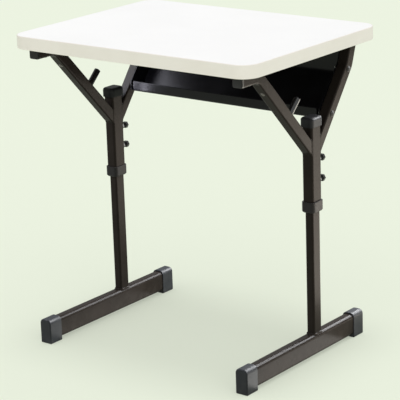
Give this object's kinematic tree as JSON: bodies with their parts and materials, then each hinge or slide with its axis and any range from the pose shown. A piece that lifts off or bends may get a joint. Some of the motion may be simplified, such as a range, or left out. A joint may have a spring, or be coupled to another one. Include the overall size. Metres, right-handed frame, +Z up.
{
  "type": "height-adjustable desk",
  "caption": "School desk with a round-cornered laminate top on two telescopic T-legs with lock screws, bent support arms, bag pegs and a folded steel book rack.",
  "frame": {"origin": "on the floor, under the middle of the top", "axes": "+X to the pupil's right, +Y away from the pupil to the rear, +Z up"},
  "size_m": [0.6, 0.45, 0.662],
  "materials": {
    "top_laminate": "satin",
    "backing_sheet": "matt backing laminate",
    "edge_band": "satin",
    "particle_board": "raw board",
    "frame_coat": "satin powder coat",
    "tray_coat": "satin powder coat",
    "grey_plastic": "fine moulded grain",
    "black_plastic": "fine moulded grain",
    "black_gloss": "glossy",
    "vent_plastic": "moulded",
    "zinc_steel": "zinc plated",
    "black_oxide": "black oxide"
  },
  "bodies": {
    "left_leg": {"inner_column_left": "frame_coat", "column_glide_left": "grey_plastic", "foot_tube_left": "frame_coat", "foot_cap_front_left": "grey_plastic", "foot_cap_rear_left": "grey_plastic"},
    "right_leg": {"inner_column_right": "frame_coat", "column_glide_right": "grey_plastic", "foot_tube_right": "frame_coat", "foot_cap_front_right": "grey_plastic", "foot_cap_rear_right": "grey_plastic"},
    "upper_frame": {"arm_vent_plugs": "vent_plastic", "bag_peg_left": "black_gloss", "bag_peg_right": "black_gloss", "book_tray": "tray_coat", "desktop_backing": "backing_sheet", "desktop_board": "particle_board", "desktop_edge_band": "edge_band", "desktop_laminate": "top_laminate", "front_arm_left": "frame_coat", "front_arm_plug_left": "black_plastic", "front_arm_plug_right": "black_plastic", "front_arm_right": "frame_coat", "front_screws": "zinc_steel", "lock_nuts_left": "black_oxide", "lock_nuts_right": "black_oxide", "rear_arm_left": "frame_coat", "rear_arm_right": "frame_coat", "rear_mount_plate_left": "frame_coat", "rear_mount_plate_right": "frame_coat", "rear_screws": "zinc_steel", "sleeve_cap_left": "black_plastic", "sleeve_cap_right": "black_plastic", "sleeve_collar_left": "black_plastic", "sleeve_collar_right": "black_plastic", "sleeve_left": "frame_coat", "sleeve_right": "frame_coat", "tray_bolts": "tray_coat", "tray_nuts": "zinc_steel"},
    "lock_bolt_upper_left": {"lock_bolt_upper_left": "black_oxide"},
    "lock_bolt_lower_left": {"lock_bolt_lower_left": "black_oxide"},
    "lock_bolt_upper_right": {"lock_bolt_upper_right": "black_oxide"},
    "lock_bolt_lower_right": {"lock_bolt_lower_right": "black_oxide"}
  },
  "joints": [
    {"name": "height_slide", "type": "slide", "parent": "left_leg", "child": "upper_frame", "axis": [0, 0, 1], "range_m": [-0.0215, 0.043]},
    {"name": "right_leg_slide", "type": "slide", "parent": "upper_frame", "child": "right_leg", "axis": [0, 0, 1], "range_m": [-0.043, 0.0215]},
    {"name": "lock_bolt_upper_left_travel", "type": "slide", "parent": "upper_frame", "child": "lock_bolt_upper_left", "axis": [0, 1, 0], "range_m": [0, 0.00375]},
    {"name": "lock_bolt_lower_left_travel", "type": "slide", "parent": "upper_frame", "child": "lock_bolt_lower_left", "axis": [0, 1, 0], "range_m": [0, 0.00375]},
    {"name": "lock_bolt_upper_right_travel", "type": "slide", "parent": "upper_frame", "child": "lock_bolt_upper_right", "axis": [0, 1, 0], "range_m": [0, 0.00375]},
    {"name": "lock_bolt_lower_right_travel", "type": "slide", "parent": "upper_frame", "child": "lock_bolt_lower_right", "axis": [0, 1, 0], "range_m": [0, 0.00375]}
  ],
  "couplings": [
    {"joint": "right_leg_slide", "follows": "height_slide", "ratio": -1}
  ]
}
